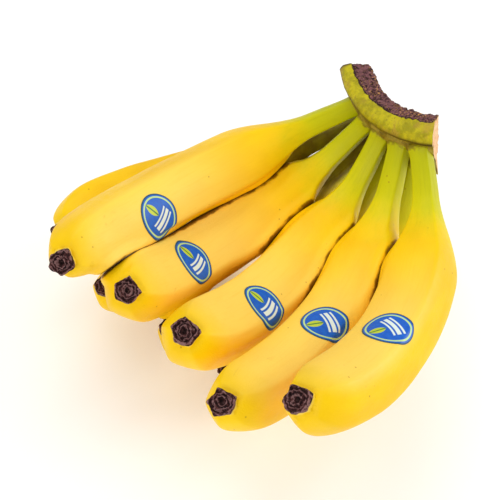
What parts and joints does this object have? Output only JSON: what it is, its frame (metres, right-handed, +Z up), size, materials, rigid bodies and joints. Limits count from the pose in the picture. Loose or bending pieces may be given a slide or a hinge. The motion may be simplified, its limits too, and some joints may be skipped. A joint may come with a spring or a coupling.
{
  "type": "bunch of bananas",
  "caption": "Hand of curved yellow bananas in two staggered rows on one cut green crown, lying on its bent fingers, with small plain oval labels on the front fruit.",
  "frame": {"origin": "middle of the bounding box's base, on the surface the bunch lies on", "axes": "+Z up as the bunch lies, -Y towards the fruit tips, the fingers spreading along Y and the crown at the back, +Y and +X"},
  "size_m": [0.2186, 0.249, 0.1442],
  "materials": {
    "peel": "satin waxy banana peel, green at the stalk, with a dry dark tip",
    "crown": "green banana crown with a dark fibrous knife cut",
    "label": "smooth printed sticker"
  },
  "bodies": {
    "root": {"crown": "crown", "banana_front_1": "peel", "banana_front_2": "peel", "banana_front_3": "peel", "banana_front_4": "peel", "banana_front_5": "peel", "banana_back_1": "peel", "banana_back_2": "peel", "banana_back_3": "peel", "banana_back_4": "peel", "label_1": "label", "label_2": "label", "label_3": "label", "label_4": "label", "label_5": "label"}
  },
  "joints": []
}
